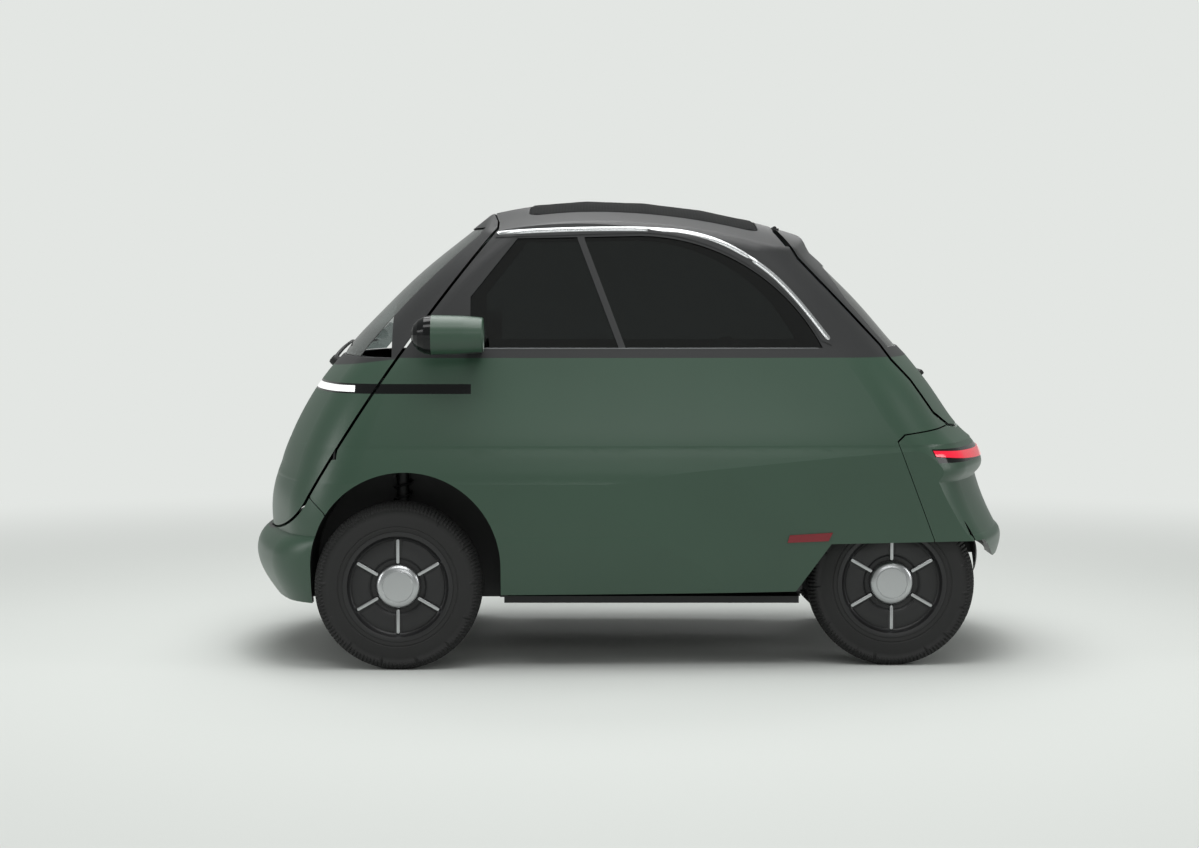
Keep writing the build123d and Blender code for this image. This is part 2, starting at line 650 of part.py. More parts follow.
barrel_radius, barrel_length, gate_pin_radius = 7, 32, 3
roof_panel -= gate_region(roof_gap)
gate_pins = []
for y in (-gate_hinge_y, gate_hinge_y):
    gate_pins.append(gate_rod(y - barrel_length, y + barrel_length, gate_pin_radius))
    notch = barrel_radius + 2
    gate_side, roof_side = (y, y + barrel_length), (y - barrel_length, y - 1)
    roof_panel -= gate_rod(gate_side[0] - 1, gate_side[1] + 2, notch)
    tailgate_frame -= gate_rod(roof_side[0] - 2, roof_side[1] + 1, notch)
    lug = box_at(gate_hinge_x - 14, gate_hinge_x, *gate_side, gate_hinge_z - 7, gate_hinge_z)
    tailgate_frame += gate_rod(*gate_side, barrel_radius) + lug
    tailgate_frame -= gate_rod(gate_side[0] - 1, gate_side[1] + 1,
                               gate_pin_radius + seat_clearance)
    lug = box_at(gate_hinge_x, gate_hinge_x + 26, *roof_side, gate_hinge_z - 7, gate_hinge_z)
    roof_panel += gate_rod(*roof_side, barrel_radius) + lug
    roof_panel -= gate_rod(roof_side[0] - 1, roof_side[1] + 1, gate_pin_radius)
roof_panel = biggest(roof_panel)
tailgate_frame = biggest(tailgate_frame)

parts = {
    "floor_pan": floor_pan,
    "battery_pack": battery_pack,
    "drive_motor": drive_motor,
    "side_panel_left": side_panel_left,
    "side_panel_right": side_panel_right,
    "front_bumper": front_bumper,
    "rear_bumper": rear_bumper,
    "cabin_frame_left": cabin_frame_left,
    "cabin_frame_right": cabin_frame_right,
    "roof_panel": roof_panel,
    "folding_roof": folding_roof,
    "side_windows": side_windows,
    "window_trims": window_trims,
    "side_light_trims": side_light_trims,
    "mirror_arms": [mirror_arm, mirrored(mirror_arm)],
    "mirror_housings": [mirror_housing, mirrored(mirror_housing)],
    "mirror_glasses": [mirror_glass, mirrored(mirror_glass)],
    "headlamps": [headlamp, mirrored(headlamp)],
    "wheel_well_liners": liners + [mirrored(s) for s in liners],
    "tail_lamp_band": tail_lamp,
    "side_reflectors": reflectors,
    "seat_cushion": seat_cushion,
    "seat_back": seat_back,
    "steering_column": steering_column,
    "front_control_arms": [lower_arm, upper_arm, mirrored(lower_arm), mirrored(upper_arm)],
    "suspension_struts": [strut_front, mirrored(strut_front), strut_rear, mirrored(strut_rear)],
    "rear_trailing_arms": [rear_arm, mirrored(rear_arm)],
    "drive_shafts": [half_shaft, mirrored(half_shaft)],
    "door_hinge_pin": door_hinge_pin,
    "tailgate_hinge_pins": gate_pins,
    "door_panel": door_panel,
    "door_frame": door_frame,
    "windscreen": windscreen,
    "door_light_bar": door_light_bar,
    "daytime_lamps": daytime_lamps,
    "dash_bar": dash_bar,
    "tailgate_panel": tailgate_panel,
    "tailgate_frame": tailgate_frame,
    "rear_window": rear_window,
    "steering_wheel": steering_wheel,
    "knuckle_left": knuckle_left,
    "knuckle_right": mirrored(knuckle_left),
}
for name, x, y in [("front_left", front_axle_x, front_track / 2),
                   ("front_right", front_axle_x, -front_track / 2),
                   ("rear_left", rear_axle_x, rear_track / 2),
                   ("rear_right", rear_axle_x, -rear_track / 2)]:
    parts["tyre_" + name], parts["rim_" + name] = wheel_at(x, y)

os.makedirs("parts", exist_ok=True)
for name, shape in parts.items():
    solids = shape if isinstance(shape, list) else shape.solids()
    whole = solids[0] if len(solids) == 1 else Compound(children=list(solids))
    export_step(whole, "parts/" + name + ".step")
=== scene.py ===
import json
import math
import bmesh
import bpy
from mathutils import Matrix, Vector
from mathutils.bvhtree import BVHTree


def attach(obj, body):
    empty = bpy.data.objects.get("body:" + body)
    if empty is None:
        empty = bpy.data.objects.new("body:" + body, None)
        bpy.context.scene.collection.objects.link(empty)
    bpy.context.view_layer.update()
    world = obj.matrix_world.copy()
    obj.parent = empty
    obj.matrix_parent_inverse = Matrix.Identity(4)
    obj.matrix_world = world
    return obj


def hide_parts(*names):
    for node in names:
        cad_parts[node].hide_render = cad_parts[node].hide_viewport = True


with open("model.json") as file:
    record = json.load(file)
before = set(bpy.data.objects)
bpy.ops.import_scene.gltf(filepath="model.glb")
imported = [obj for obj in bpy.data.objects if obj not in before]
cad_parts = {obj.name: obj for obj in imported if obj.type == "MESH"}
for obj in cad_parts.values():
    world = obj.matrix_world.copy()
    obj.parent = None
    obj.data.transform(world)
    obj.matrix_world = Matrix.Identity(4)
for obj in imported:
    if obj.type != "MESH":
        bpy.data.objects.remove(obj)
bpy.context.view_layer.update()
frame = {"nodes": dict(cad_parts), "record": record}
nodes = frame["nodes"]
print("frame loaded:", len(nodes), "nodes")


# camera, floor and lamps

studio = {
    "cameraPlace": (0.0993, 8.80, 1.236),
    "cameraTilt": 3.2,              # degrees below level
    "lens": 77.2,
    "sensorWidth": 36.0,
    "clip": (0.1, 300.0),
    "floorRadius": 60.0,
    "floorHex": "cfd2cf",
    "wallHex": "e3e6e3",
    "fadeStart": 2.4,               # the floor turns into the wall's colour between these distances
    "fadeEnd": 6.5,
    "skyLevel": 0.42,
}

# name, place, target, width, height, watts
lampTable = [
    ("topLamp", (0.2, 0.2, 5.2), (0.0, 0.0, 0.8), 4.6, 3.0, 190.0),
    ("sideLamp", (-0.7, 6.6, 2.9), (-0.3, 0.6, 0.9), 3.4, 0.9, 32.0),
    ("highLamp", (0.4, 4.2, 6.4), (0.0, 0.2, 0.8), 6.0, 1.6, 130.0),
    ("noseLamp", (6.2, 2.4, 2.2), (0.6, 0.0, 0.7), 1.8, 2.6, 60.0),
    ("tailLamp", (-6.2, 2.2, 2.4), (-0.6, 0.0, 0.7), 1.8, 2.6, 60.0),
    ("farLamp", (0.0, -4.2, 6.4), (0.0, -0.2, 0.8), 6.0, 1.6, 110.0),
    ("farSideLamp", (-0.9, -6.6, 2.9), (-0.3, -0.6, 0.9), 3.2, 0.9, 24.0),
]


def toLinear(hexColour):
    # sRGB hex to the linear values that shaders take
    channels = [int(hexColour[i:i + 2], 16) / 255 for i in (0, 2, 4)]
    linear = [c / 12.92 if c <= 0.04045 else ((c + 0.055) / 1.055) ** 2.4 for c in channels]
    return (*linear, 1.0)


def addNode(tree, kind, settings=None, links=None):
    node = tree.nodes.new(kind)
    for key, value in (settings or {}).items():
        if key == "stops":
            elements = node.color_ramp.elements
            while len(elements) < len(value):
                elements.new(0.5)
            for element, (at, colour) in zip(elements, value):
                element.position = at
                element.color = colour
        elif isinstance(key, int) or key in node.inputs:
            node.inputs[key].default_value = value
        else:
            setattr(node, key, value)
    for key, source in (links or {}).items():
        tree.links.new(source, node.inputs[key])
    return node


def startMaterial(name):
    material = bpy.data.materials.new(name)
    material.use_nodes = True
    tree = material.node_tree
    shader = tree.nodes["Principled BSDF"]
    place = addNode(tree, "ShaderNodeTexCoord")
    return material, tree, shader, place.outputs["Object"]


def clouded(tree, place, hexColour, share, perMetre, detail, stops=(0.3, 0.7)):
    # body colour that dims to a share of itself in soft clouds
    full = toLinear(hexColour)
    dim = tuple(share * c for c in full[:3]) + (1.0,)
    cloud = addNode(tree, "ShaderNodeTexNoise", {"Scale": perMetre, "Detail": detail},
                    {"Vector": place})
    ramp = addNode(tree, "ShaderNodeValToRGB", {"stops": [(stops[0], dim), (stops[1], full)]},
                   {"Fac": cloud.outputs["Fac"]})
    return ramp.outputs["Color"]


def seenBy(tree, *kinds):
    # one for the named kinds of ray, nought for all others
    path = addNode(tree, "ShaderNodeLightPath")
    total = path.outputs[kinds[0]]
    for kind in kinds[1:]:
        both = addNode(tree, "ShaderNodeMath", {"operation": "ADD", "use_clamp": True},
                       {0: total, 1: path.outputs[kind]})
        total = both.outputs[0]
    return total


def makeCamera(scene):
    data = bpy.data.cameras.new("sideCamera")
    data.lens, data.sensor_width = studio["lens"], studio["sensorWidth"]
    data.clip_start, data.clip_end = studio["clip"]
    camera = bpy.data.objects.new("sideCamera", data)
    camera.location = studio["cameraPlace"]
    camera.rotation_euler = (math.radians(90 - studio["cameraTilt"]), 0.0, math.pi)
    scene.collection.objects.link(camera)
    scene.camera = camera


def makeLamps(scene):
    for name, place, target, width, height, watts in lampTable:
        lamp = bpy.data.lights.new(name, "AREA")
        lamp.shape, lamp.size, lamp.size_y, lamp.energy = "RECTANGLE", width, height, watts
        item = bpy.data.objects.new(name, lamp)
        item.location = place
        item.rotation_euler = (Vector(target) - Vector(place)).to_track_quat("-Z", "Y").to_euler()
        scene.collection.objects.link(item)


def makeSky(scene):
    # full wall colour to the eye, dimmer as light
    world = bpy.data.worlds.new("studio")
    world.use_nodes = True
    scene.world = world
    tree = world.node_tree
    background = tree.nodes["Background"]
    background.inputs["Color"].default_value = toLinear(studio["wallHex"])
    level = addNode(tree, "ShaderNodeMapRange", {"To Min": studio["skyLevel"], "To Max": 1.0},
                    {"Value": seenBy(tree, "Is Camera Ray", "Is Transmission Ray")})
    tree.links.new(level.outputs[0], background.inputs["Strength"])


def makeFloor(scene):
    form = bmesh.new()
    bmesh.ops.create_circle(form, cap_ends=True, segments=96, radius=studio["floorRadius"])
    mesh = bpy.data.meshes.new("floor")
    form.to_mesh(mesh)
    form.free()
    floor = bpy.data.objects.new("floor", mesh)
    scene.collection.objects.link(floor)
    # matt studio floor that turns into the wall's own glow with distance
    material, tree, shader, place = startMaterial("paleFloor")
    shader.inputs["Base Color"].default_value = toLinear(studio["floorHex"])
    shader.inputs["Roughness"].default_value = 0.75
    shader.inputs["Specular IOR Level"].default_value = 0.2
    glow = addNode(tree, "ShaderNodeEmission", {"Color": toLinear(studio["wallHex"])}, {
        "Strength": seenBy(tree, "Is Camera Ray", "Is Glossy Ray", "Is Transmission Ray")})
    away = addNode(tree, "ShaderNodeVectorMath", {"operation": "LENGTH"}, {0: place})
    fade = addNode(tree, "ShaderNodeMapRange",
                   {"From Min": studio["fadeStart"], "From Max": studio["fadeEnd"],
                    "interpolation_type": "SMOOTHSTEP"}, {"Value": away.outputs["Value"]})
    mix = addNode(tree, "ShaderNodeMixShader", links={
        0: fade.outputs[0], 1: shader.outputs[0], 2: glow.outputs[0]})
    tree.links.new(mix.outputs[0], tree.nodes["Material Output"].inputs["Surface"])
    floor.data.materials.append(material)


def makeStage():
    scene = bpy.context.scene
    scene.view_settings.view_transform = "Standard"
    makeCamera(scene)
    makeLamps(scene)
    makeSky(scene)
    makeFloor(scene)
    print("stage made")


makeStage()


# materials

cabinMiddle = (0.1, 0.0, 0.75)


def satinPaint(name, hexOutside, hexInside, rough, coat=0.25):
    # sprayed two-layer lacquer with a satin clear coat: soft wide highlights, a faint orange peel;
    # a panel's inner side, which faces the middle of the cabin, has the colour of its lining
    material, tree, shader, place = startMaterial(name)
    outer = clouded(tree, place, hexOutside, 0.93, 3.0, 2.0, (0.35, 0.65))
    geometry = addNode(tree, "ShaderNodeNewGeometry")
    outwards = addNode(tree, "ShaderNodeVectorMath", {"operation": "SUBTRACT", 1: cabinMiddle},
                       {0: place})
    normal = addNode(tree, "ShaderNodeVectorTransform",
                     {"vector_type": "NORMAL", "convert_from": "WORLD", "convert_to": "OBJECT"},
                     {"Vector": geometry.outputs["True Normal"]})
    facing = addNode(tree, "ShaderNodeVectorMath", {"operation": "DOT_PRODUCT"},
                     {0: outwards.outputs["Vector"], 1: normal.outputs["Vector"]})
    inner = addNode(tree, "ShaderNodeMath", {"operation": "LESS_THAN", 1: -0.02},
                    {0: facing.outputs["Value"]})
    colour = addNode(tree, "ShaderNodeMix", {"data_type": "RGBA", "B": toLinear(hexInside)},
                     {"Factor": inner.outputs[0], "A": outer})
    peel = addNode(tree, "ShaderNodeTexNoise", {"Scale": 240.0, "Detail": 2.0}, {"Vector": place})
    bump = addNode(tree, "ShaderNodeBump", {"Strength": 0.03, "Distance": 0.0004},
                   {"Height": peel.outputs["Fac"]})
    tree.links.new(colour.outputs["Result"], shader.inputs["Base Color"])
    tree.links.new(bump.outputs[0], shader.inputs["Normal"])
    shader.inputs["Roughness"].default_value = rough
    shader.inputs["Coat Weight"].default_value = coat
    shader.inputs["Coat Roughness"].default_value = 0.28
    return material


bodyPaint = satinPaint("satinGreenLacquer", "2d4938", "262827", 0.42)
roofPaint = satinPaint("satinGreyLacquer", "262728", "232424", 0.46, 0.05)


def mouldedPlastic(name, hexColour, rough, grainMm=1.2, depth=0.25):
    # injection-moulded ABS with an etched grain that breaks up the highlight
    material, tree, shader, place = startMaterial(name)
    grain = addNode(tree, "ShaderNodeTexVoronoi", {"Scale": 1000.0 / grainMm, "feature": "SMOOTH_F1"},
                    {"Vector": place})
    bump = addNode(tree, "ShaderNodeBump", {"Strength": depth, "Distance": 0.0002},
                   {"Height": grain.outputs["Distance"]})
    colour = clouded(tree, place, hexColour, 0.85, 9.0, 3.0)
    tree.links.new(colour, shader.inputs["Base Color"])
    tree.links.new(bump.outputs[0], shader.inputs["Normal"])
    shader.inputs["Roughness"].default_value = rough
    return material


grainedPlastic = mouldedPlastic("grainedBlackPlastic", "1a1b1b", 0.55)
liningPlastic = mouldedPlastic("greyLiningPlastic", "3a3b3b", 0.6)
wheelPlastic = mouldedPlastic("satinBlackCover", "1c1c1d", 0.40, 0.8, 0.12)


def smoothGloss(name, hexColour, rough, settings=None):
    # polished acrylic or lacquered plastic: sharp reflections over a plain body colour
    material, tree, shader, place = startMaterial(name)
    colour = clouded(tree, place, hexColour, 0.92, 14.0, 2.0)
    tree.links.new(colour, shader.inputs["Base Color"])
    shader.inputs["Roughness"].default_value = rough
    for key, value in (settings or {}).items():
        shader.inputs[key].default_value = value
    return material


pianoBlack = smoothGloss("glossBlackAcrylic", "101112", 0.10, {"Specular IOR Level": 0.3})
redLens = smoothGloss("redAcrylicLens", "d8062f", 0.12, {
    "Emission Color": toLinear("e0062f"), "Emission Strength": 0.55, "Coat Weight": 0.5})
reflexRed = smoothGloss("redReflector", "7d1620", 0.22)
whiteLens = smoothGloss("whiteDiffuserLens", "eef0ef", 0.15, {
    "Emission Color": toLinear("ffffff"), "Emission Strength": 0.5})
mirrorGlass = smoothGloss("silveredMirror", "d6d9db", 0.02, {"Metallic": 1.0})


def tintedGlass(name, hexColour, gloss):
    # toughened glass, tinted in the mass: dark from outside, shapes show faintly through it; a tint
    # deeper than the glass's own is painted shade of the cabin behind it
    material, tree, shader, place = startMaterial(name)
    colour = clouded(tree, place, hexColour, 0.94, 2.0, 1.0)
    tree.links.new(colour, shader.inputs["Base Color"])
    shader.inputs["Roughness"].default_value = 0.0
    shader.inputs["IOR"].default_value = 1.5
    shader.inputs["Transmission Weight"].default_value = 1.0
    shader.inputs["Specular IOR Level"].default_value = gloss
    return material


# side glass tinted nearly black: partly its own tint, partly painted shade of the cabin behind it
sideGlass = tintedGlass("tintAndPaintedShadeGlass", "4c5150", 0.10)
frontGlass = tintedGlass("lightTintGlass", "7d8785", 0.35)


def brushedMetal(name, hexColour, rough):
    # drawn, cast or lacquered metal: bright, with a fine unevenness that breaks up the highlight
    material, tree, shader, place = startMaterial(name)
    marks = addNode(tree, "ShaderNodeTexNoise", {"Scale": 600.0, "Detail": 2.0}, {"Vector": place})
    shade = addNode(tree, "ShaderNodeMapRange", {"To Min": rough - 0.04, "To Max": rough + 0.06},
                    {"Value": marks.outputs["Fac"]})
    tree.links.new(shade.outputs[0], shader.inputs["Roughness"])
    shader.inputs["Base Color"].default_value = toLinear(hexColour)
    shader.inputs["Metallic"].default_value = 1.0
    return material


brightStrip = brushedMetal("brightAnodisedStrip", "c6c8c9", 0.26)
dullStrip = brushedMetal("dullAnodisedSeal", "6c6e6f", 0.36)
castAluminium = brushedMetal("castAluminium", "a4a7a9", 0.42)
wheelSilver = brushedMetal("silverLacqueredAlloy", "b9bbbc", 0.30)
coatedSteel = mouldedPlastic("blackPowderCoatedSteel", "1b1c1d", 0.5, 2.0, 0.3)
tyreRubber = mouldedPlastic("tyreRubber", "1d1d1d", 0.72, 1.6, 0.35)


def wovenCloth(name, hexColour, hexThread, threadMm, sheen):
    # woven upholstery: two thread directions, matt, with a soft sheen at the edges
    material, tree, shader, place = startMaterial(name)
    # a band comes out about six threads wide, coarse enough to show from a few metres
    scale = 1000.0 / threadMm / 20
    across, along = [
        addNode(tree, "ShaderNodeTexWave", {"Scale": scale, "bands_direction": direction,
                                            "Distortion": 0.6, "Detail Scale": 4.0},
                {"Vector": place}).outputs["Fac"] for direction in ("X", "Y")]
    weave = addNode(tree, "ShaderNodeMath", {"operation": "MULTIPLY"}, {0: across, 1: along})
    colour = addNode(tree, "ShaderNodeValToRGB",
                     {"stops": [(0.1, toLinear(hexColour)), (0.8, toLinear(hexThread))]},
                     {"Fac": weave.outputs[0]})
    bump = addNode(tree, "ShaderNodeBump", {"Strength": 0.4, "Distance": 0.0006},
                   {"Height": weave.outputs[0]})
    tree.links.new(colour.outputs["Color"], shader.inputs["Base Color"])
    tree.links.new(bump.outputs[0], shader.inputs["Normal"])
    shader.inputs["Roughness"].default_value = 0.92
    shader.inputs["Specular IOR Level"].default_value = 0.15
    shader.inputs["Sheen Weight"].default_value = sheen
    return material


seatCloth = wovenCloth("wovenSeatCloth", "2c2d2f", "4a4b4d", 2.4, 0.3)
roofCloth = wovenCloth("wovenRoofCloth", "131414", "1e1f20", 1.6, 0.0)

finishes = {
    "paint": bodyPaint, "dark_paint": roofPaint, "black_plastic": grainedPlastic,
    "gloss_black": pianoBlack, "chassis": coatedSteel, "steel": coatedSteel,
    "aluminium": castAluminium, "chrome": brightStrip, "glass": sideGlass,
    "lamp_glass": pianoBlack, "red_lens": redLens, "white_lens": whiteLens,
    "mirror": mirrorGlass, "seat_fabric": seatCloth, "roof_fabric": roofCloth,
    "tyre": tyreRubber, "rim": wheelPlastic,
}
special = {
    "windscreen": frontGlass, "tail_lamp_band": pianoBlack, "side_reflectors": reflexRed,
    "dash_bar": liningPlastic, "window_trims": roofPaint,
}


def dressFrame():
    slots = {row["node"]: row["material_slot"] for row in frame["record"]["subparts"]}
    for name, item in nodes.items():
        material = special.get(name, finishes[slots[name]])
        item.data.materials.clear()
        item.data.materials.append(material)
    print("frame dressed")


dressFrame()


# making of pieces

creaseAngle = math.radians(32)


def looseObject(form, name):
    mesh = bpy.data.meshes.new(name)
    form.to_mesh(mesh)
    form.free()
    item = bpy.data.objects.new(name, mesh)
    bpy.context.scene.collection.objects.link(item)
    return item


def toObject(form, name, material, body, replaced=()):
    # closes the bmesh into an object that rides on a body and may stand for CAD nodes
    item = looseObject(form, name)
    mesh = item.data
    mesh.materials.append(material)
    mesh.polygons.foreach_set("use_smooth", [True] * len(mesh.polygons))
    mesh.set_sharp_from_angle(angle=creaseAngle)
    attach(item, body)
    if replaced:
        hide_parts(*replaced)
    return item


def vertsIn(geom):
    return [g for g in geom if isinstance(g, bmesh.types.BMVert)]


def edgesIn(geom):
    return [g for g in geom if isinstance(g, bmesh.types.BMEdge)]


def bevelEdges(form, edges, width, segments):
    bmesh.ops.bevel(form, geom=edges, offset=width, offset_type="OFFSET", segments=segments,
                    profile=0.5, affect="EDGES", material=-1)


def turnProfile(form, points, steps, closed=True):
    # outline of (y, radius) points turned about the wheel's axis
    verts = [form.verts.new((0.0, y, r)) for y, r in points]
    pairs = zip(verts, verts[1:] + verts[:1]) if closed else zip(verts, verts[1:])
    edges = [form.edges.new(pair) for pair in pairs]
    bmesh.ops.spin(form, geom=verts + edges, cent=(0, 0, 0), axis=(0, 1, 0),
                   angle=2 * math.pi, steps=steps, use_merge=True)
    bmesh.ops.remove_doubles(form, verts=form.verts, dist=1e-6)


def roundedBar(form, size, place, turn, endRound, edgeRound):
    # flat bar with round ends, its length along z before it is turned about the axle
    made = bmesh.ops.create_cube(form, size=1.0)["verts"]
    bmesh.ops.scale(form, vec=size, verts=made)
    ends = [e for v in made for e in v.link_edges
            if abs(e.verts[0].co.x - e.verts[1].co.x) < 1e-6
            and abs(e.verts[0].co.z - e.verts[1].co.z) < 1e-6]
    before = set(form.verts) - set(made)
    bevelEdges(form, list(set(ends)), endRound, 5)
    made = [v for v in form.verts if v not in before]
    front = [e for e in form.edges if e.verts[0] in made
             and all(v.co.y > size[1] / 2 - 1e-5 for v in e.verts)]
    bevelEdges(form, front, edgeRound, 2)
    made = [v for v in form.verts if v not in before]
    bmesh.ops.translate(form, vec=place, verts=made)
    bmesh.ops.rotate(form, cent=(0, 0, 0), matrix=Matrix.Rotation(turn, 3, "Y"), verts=made)


def skinReader(*names):
    # finds points on the outer skin of CAD nodes
    points, faces = [], []
    for name in names:
        item = nodes[name]
        start = len(points)
        points += [item.matrix_world @ v.co for v in item.data.vertices]
        faces += [[start + k for k in p.vertices] for p in item.data.polygons]
    return BVHTree.FromPolygons(points, faces)


def skinPoint(tree, origin, direction):
    hit, normal, _, _ = tree.ray_cast(Vector(origin), Vector(direction))
    if normal is not None and normal.dot(Vector(direction)) > 0:
        normal = -normal
    return hit, normal


# wheels: tyre with shoulder blocks, covered rim, bright spokes and cap

wheel = {
    "radius": 0.2665, "halfWidth": 0.0725, "bead": 0.165, "rimHalf": 0.062,
    "treadPitches": 132, "treadDepth": 0.0055, "grooveDepth": 0.0044,
    "shoulderBand": 0.0285, "shoulderFrom": 0.0335, "ribFrom": 0.0062, "ribTo": 0.025,
    "flankFrom": 0.058, "flankShare": 0.965,
    "spokeCount": 6, "spokeWidth": 0.010, "spokeFrom": 0.073, "spokeTo": 0.150,
    "slotHalf": 0.0115, "plateFrom": 0.094, "plateTo": 0.1465, "plateThick": 0.0034, "plateRound": 0.0008,
    "capRadius": 0.0708, "capFace": 0.049,
}
# name, x, y of the wheel's middle
wheelTable = [
    ("front_left", 0.738, 0.635), ("front_right", 0.738, -0.635),
    ("rear_left", -0.838, 0.535), ("rear_right", -0.838, -0.535),
]


def placeWheelPart(form, x, y):
    if y < 0:
        bmesh.ops.scale(form, vec=(1, -1, 1), verts=form.verts)
    bmesh.ops.recalc_face_normals(form, faces=form.faces)
    bmesh.ops.translate(form, vec=(x, y, wheel["radius"]), verts=form.verts)


def makeTyre(name, x, y):
    half, r, bead, deep = wheel["halfWidth"], wheel["radius"], wheel["bead"], wheel["treadDepth"]
    side = [(half - 0.008, bead + 0.0003), (half - 0.0032, bead + 0.008), (half - 0.0008, bead + 0.016),
            (half - 0.0003, bead + 0.022), (half - 0.0018, bead + 0.0242), (half - 0.0018, bead + 0.0262),
            (half, bead + 0.0285), (half, bead + 0.044), (half - 0.0012, bead + 0.060),
            (half - 0.0042, r - 0.0275), (half - 0.010, r - 0.0160), (half - 0.0178, r - 0.0070),
            (half - 0.028, r - 0.0008)]
    crown = [(0.0330, r), (0.0322, r - deep), (0.0262, r - deep), (0.0254, r), (0.0050, r),
             (0.0042, r - deep)]
    outline = side + crown + [(-y0, r0) for y0, r0 in reversed(side + crown)]
    outline += [(-half + 0.012, bead + 0.0003), (half - 0.012, bead + 0.0003)]
    form = bmesh.new()
    steps = 2 * wheel["treadPitches"]
    turnProfile(form, outline, steps)
    grooves = []
    for face in form.faces:
        middle = face.calc_center_median()
        reach = math.hypot(middle.x, middle.z)
        place = int((math.atan2(middle.x, middle.z) + math.pi) * steps / (2 * math.pi))
        onShoulder = reach > r - wheel["shoulderBand"] and abs(middle.y) > wheel["shoulderFrom"]
        onRib = reach > r - 0.0008 and wheel["ribFrom"] < abs(middle.y) < wheel["ribTo"]
        if (onShoulder and place % 2 == 0) or (onRib and (place + (middle.y > 0)) % 4 == 1):
            grooves.append(face)
    moved = bmesh.ops.extrude_face_region(form, geom=grooves)["geom"]
    for vert in set(vertsIn(moved)):
        sunk = 1 - wheel["grooveDepth"] / math.hypot(vert.co.x, vert.co.z)
        vert.co.x, vert.co.z = vert.co.x * sunk, vert.co.z * sunk
        if abs(vert.co.y) > wheel["flankFrom"]:
            vert.co.y *= wheel["flankShare"]
    placeWheelPart(form, x, y)
    toObject(form, "dressedTyre_" + name, tyreRubber, "wheel_" + name, ["tyre_" + name])


def makeRim(name, x, y):
    half, bead, rim = wheel["halfWidth"], wheel["bead"], wheel["rimHalf"]
    form = bmesh.new()
    turnProfile(form, [
        (-rim, bead - 0.009), (-rim, bead - 0.0004), (rim, bead - 0.0004), (half - 0.0076, bead),
        (half - 0.0052, bead + 0.006), (half - 0.0034, bead + 0.0095), (half - 0.0012, bead + 0.0098),
        (half - 0.0005, bead + 0.0080), (half - 0.0009, bead + 0.004), (half - 0.0032, bead - 0.004),
        (rim - 0.0015, bead - 0.008), (rim - 0.0065, bead - 0.0105), (rim - 0.0105, bead - 0.0140),
        (rim - 0.0118, bead - 0.0165), (rim - 0.0120, 0.0925), (rim - 0.0132, 0.0905),
        (rim - 0.0185, 0.0865), (rim - 0.0200, 0.0830), (rim - 0.0200, 0.060),
        (rim - 0.0340, 0.060), (rim - 0.0340, 0.146), (rim - 0.044, bead - 0.009)], 96)
    for k in range(wheel["spokeCount"]):
        # one cover plate between two spokes, cut along them
        plate = bmesh.new()
        rise = 2 * math.pi / wheel["spokeCount"]
        ends = [plate.verts.new((0.0, rim - 0.0122, reach))
                for reach in (wheel["plateFrom"], wheel["plateTo"])]
        edge = plate.edges.new(ends)
        bmesh.ops.spin(plate, geom=ends + [edge], cent=(0, 0, 0), axis=(0, 1, 0), angle=rise, steps=14)
        along = Vector((0, 0, 1))
        for sign, spoke in ((1, along), (-1, Matrix.Rotation(rise, 3, "Y") @ along)):
            across = Vector((0, 1, 0)).cross(spoke) * sign
            cut = plate.verts[:] + plate.edges[:] + plate.faces[:]
            bmesh.ops.bisect_plane(plate, geom=cut, plane_co=across * wheel["slotHalf"],
                                   plane_no=across, clear_inner=True)
        top = vertsIn(bmesh.ops.extrude_face_region(plate, geom=plate.faces[:])["geom"])
        bmesh.ops.translate(plate, vec=(0, wheel["plateThick"], 0), verts=top)
        bmesh.ops.recalc_face_normals(plate, faces=plate.faces)
        rimEdges = [e for e in plate.edges if all(v in top for v in e.verts)
                    and e.calc_face_angle(0) > 1.0]
        bevelEdges(plate, rimEdges, wheel["plateRound"], 2)
        bmesh.ops.rotate(plate, cent=(0, 0, 0), matrix=Matrix.Rotation(rise * k, 3, "Y"),
                         verts=plate.verts)
        scrap = bpy.data.meshes.new("plate")
        plate.to_mesh(scrap)
        plate.free()
        form.from_mesh(scrap)
        bpy.data.meshes.remove(scrap)
    placeWheelPart(form, x, y)
    toObject(form, "dressedRim_" + name, wheelPlastic, "wheel_" + name, ["rim_" + name])


def makeSpokes(name, x, y):
    rim = wheel["rimHalf"]
    form = bmesh.new()
    length = wheel["spokeTo"] - wheel["spokeFrom"]
    for k in range(wheel["spokeCount"]):
        roundedBar(form, (wheel["spokeWidth"], 0.0075, length),
                   (0, rim - 0.0088, (wheel["spokeTo"] + wheel["spokeFrom"]) / 2),
                   2 * math.pi / wheel["spokeCount"] * k, 0.0046, 0.0010)
    bmesh.ops.remove_doubles(form, verts=form.verts, dist=1e-6)
    placeWheelPart(form, x, y)
    toObject(form, "spokeInlays_" + name, wheelSilver, "wheel_" + name)


def makeCap(name, x, y):
    rim, r, face = wheel["rimHalf"], wheel["capRadius"], wheel["capFace"]
    form = bmesh.new()
    turnProfile(form, [
        (rim - 0.0200, 0.0), (rim - 0.0200, r - 0.001), (rim - 0.0165, r), (rim - 0.0100, r - 0.0004),
        (rim - 0.0050, r - 0.0035), (rim - 0.0010, r - 0.0085), (rim + 0.0018, r - 0.0145),
        (rim + 0.0030, face + 0.0012), (rim + 0.0022, face + 0.0004), (rim + 0.0022, face - 0.0006),
        (rim + 0.0032, face - 0.0016), (rim + 0.0036, face - 0.010), (rim + 0.0038, 0.0)], 96, False)
    placeWheelPart(form, x, y)
    toObject(form, "wheelCap_" + name, wheelSilver, "wheel_" + name)


for name, x, y in wheelTable:
    makeTyre(name, x, y)
    makeRim(name, x, y)
    makeSpokes(name, x, y)
    makeCap(name, x, y)
print("wheels made")


# folding roof: cloth stretched over cross bows

